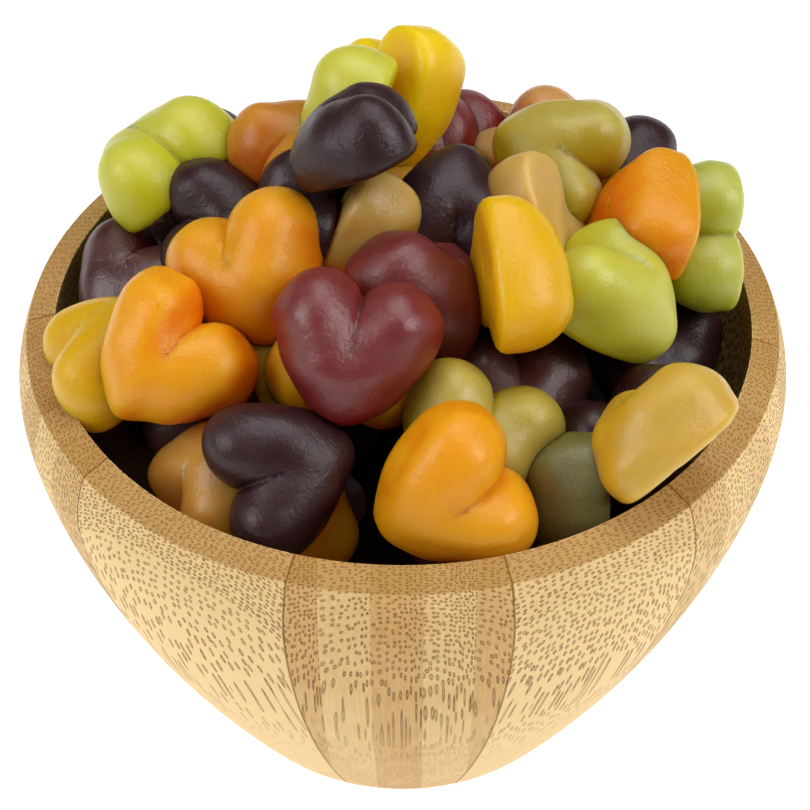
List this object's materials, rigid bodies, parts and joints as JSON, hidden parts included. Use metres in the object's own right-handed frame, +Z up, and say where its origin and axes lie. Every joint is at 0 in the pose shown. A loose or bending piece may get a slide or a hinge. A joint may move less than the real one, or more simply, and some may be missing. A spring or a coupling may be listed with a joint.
{
  "type": "bowl of heart candies",
  "caption": "Turned bamboo bowl with an outward belly and a flat foot, heaped above its rim with heart-shaped fruit gummies.",
  "frame": {"origin": "middle of the bowl's foot, on the surface that it stands on", "axes": "+Z up along the bowl's turning axis, -Y towards the viewer of the picture, +X to the viewer's right"},
  "size_m": [0.12, 0.12, 0.1192],
  "materials": {
    "bamboo": "laminated bamboo, turned and oiled to a low sheen",
    "gummy": "satin, slightly clear fruit jelly in several colours"
  },
  "bodies": {
    "root": {"bowl": "bamboo", "candies": "gummy"}
  },
  "joints": []
}
